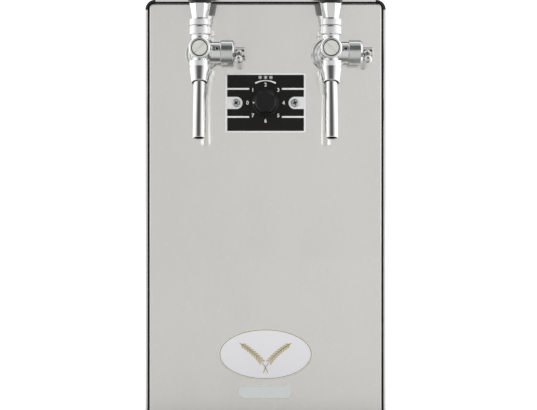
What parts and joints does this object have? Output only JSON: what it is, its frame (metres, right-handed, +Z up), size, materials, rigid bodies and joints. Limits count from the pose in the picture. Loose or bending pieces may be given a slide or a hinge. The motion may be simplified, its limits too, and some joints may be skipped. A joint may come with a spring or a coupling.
{
  "type": "draft beer dispenser",
  "caption": "Counter-top dry beer cooler: stainless casing, compensator taps with black handles, bent spouts, thermostat dial and plain badges; levers, adjusters, dial and fan move.",
  "frame": {"origin": "middle of the bounding box's underside, on the surface that the feet stand on", "axes": "+X to the right seen from the front, the front faces -Y, +Z up"},
  "size_m": [0.2444, 0.4977, 0.5187],
  "materials": {
    "brushed_steel": "brushed stainless sheet",
    "polished_steel": "polished stainless sheet",
    "chrome": "polished chrome plating",
    "steel_tube": "drawn stainless tube",
    "black_gloss": "glossy black plastic",
    "black_satin": "satin moulded plastic",
    "dial_face": "black label with white print",
    "black_rubber": "matt rubber",
    "pearl_badge": "pearl field with a gold rim",
    "silver_badge": "satin silver",
    "foam": "rigid foam",
    "aluminium": "mill finish",
    "copper": "drawn copper tube",
    "black_enamel": "black enamel",
    "grey_acetal": "moulded acetal",
    "collet_black": "moulded acetal"
  },
  "bodies": {
    "casing": {"outer_cover": "brushed_steel", "corner_trims": "black_satin", "front_seal": "black_rubber", "front_panel": "polished_steel", "rear_panel": "brushed_steel", "base_tray": "brushed_steel", "rubber_feet": "black_rubber", "casing_screws": "chrome", "hand_grips": "black_satin", "oval_badge": "pearl_badge", "pill_badge": "silver_badge", "dial_plate": "dial_face", "dial_screws": "chrome", "thermostat_body": "brushed_steel", "thermostat_probe": "copper", "block_shelf": "brushed_steel", "insulation_tub": "foam", "insulation_lid": "foam", "cooling_block": "aluminium", "beer_lines": "steel_tube", "inlet_fittings": "grey_acetal", "mains_inlet": "black_satin", "compressor": "black_enamel", "compressor_mounts": "black_rubber", "terminal_cover": "black_satin", "condenser_fins": "aluminium", "condenser_tube": "copper", "fan_shroud": "black_satin", "fan_motor": "brushed_steel", "filter_drier": "copper", "refrigerant_lines": "copper", "tap_rosettes": "chrome", "shank_nuts": "chrome", "front_plugs": "chrome", "collar_nuts": "chrome", "tap_body_left": "chrome", "tap_body_right": "chrome", "spout_left": "chrome", "spout_right": "chrome", "compensator_housing_left": "chrome", "compensator_housing_right": "chrome"},
    "dial": {"dial_knob": "black_gloss", "dial_spindle": "chrome"},
    "fan": {"fan_rotor": "black_satin"},
    "lever_left": {"lever_stem_left": "chrome", "splash_collar_left": "chrome", "handle_ferrule_left": "chrome", "tap_handle_left": "black_gloss"},
    "plunger_left": {"tap_plunger_left": "chrome"},
    "adjuster_left": {"compensator_lever_left": "chrome"},
    "cone_left": {"compensator_cone_left": "grey_acetal"},
    "collet_left": {"inlet_collet_left": "collet_black"},
    "lever_right": {"lever_stem_right": "chrome", "splash_collar_right": "chrome", "handle_ferrule_right": "chrome", "tap_handle_right": "black_gloss"},
    "plunger_right": {"tap_plunger_right": "chrome"},
    "adjuster_right": {"compensator_lever_right": "chrome"},
    "cone_right": {"compensator_cone_right": "grey_acetal"},
    "collet_right": {"inlet_collet_right": "collet_black"}
  },
  "joints": [
    {"name": "dial_turn", "type": "hinge", "parent": "casing", "child": "dial", "pos_m": [0, -0.1616, 0.3518], "axis": [0, 1, 0], "range_deg": [0, 315]},
    {"name": "fan_spin", "type": "hinge", "parent": "casing", "child": "fan", "pos_m": [0, 0.1348, 0.1082], "axis": [0, 1, 0], "continuous": true},
    {"name": "lever_pull_left", "type": "hinge", "parent": "casing", "child": "lever_left", "pos_m": [-0.063, -0.2136, 0.4123], "axis": [1, 0, 0], "range_deg": [-12, 25]},
    {"name": "plunger_slide_left", "type": "slide", "parent": "casing", "child": "plunger_left", "axis": [0, 1, 0], "range_m": [-0.00252, 0.00525]},
    {"name": "adjuster_turn_left", "type": "hinge", "parent": "casing", "child": "adjuster_left", "pos_m": [-0.026, -0.1806, 0.4003], "axis": [1, 0, 0], "range_deg": [-110, 65]},
    {"name": "cone_slide_left", "type": "slide", "parent": "casing", "child": "cone_left", "axis": [1, 0, 0], "range_m": [-0.00137, 0.00231]},
    {"name": "collet_press_left", "type": "slide", "parent": "casing", "child": "collet_left", "axis": [0, -1, 0], "range_m": [0, 0.0016]},
    {"name": "lever_pull_right", "type": "hinge", "parent": "casing", "child": "lever_right", "pos_m": [0.063, -0.2136, 0.4123], "axis": [1, 0, 0], "range_deg": [-12, 25]},
    {"name": "plunger_slide_right", "type": "slide", "parent": "casing", "child": "plunger_right", "axis": [0, 1, 0], "range_m": [-0.00252, 0.00525]},
    {"name": "adjuster_turn_right", "type": "hinge", "parent": "casing", "child": "adjuster_right", "pos_m": [0.1, -0.1806, 0.4003], "axis": [1, 0, 0], "range_deg": [-110, 65]},
    {"name": "cone_slide_right", "type": "slide", "parent": "casing", "child": "cone_right", "axis": [1, 0, 0], "range_m": [-0.00137, 0.00231]},
    {"name": "collet_press_right", "type": "slide", "parent": "casing", "child": "collet_right", "axis": [0, -1, 0], "range_m": [0, 0.0016]}
  ],
  "couplings": [
    {"joint": "plunger_slide_left", "follows": "lever_pull_left", "m_per_rad": 0.012},
    {"joint": "cone_slide_left", "follows": "adjuster_turn_left", "m_per_rad": -0.0012},
    {"joint": "plunger_slide_right", "follows": "lever_pull_right", "m_per_rad": 0.012},
    {"joint": "cone_slide_right", "follows": "adjuster_turn_right", "m_per_rad": -0.0012}
  ]
}
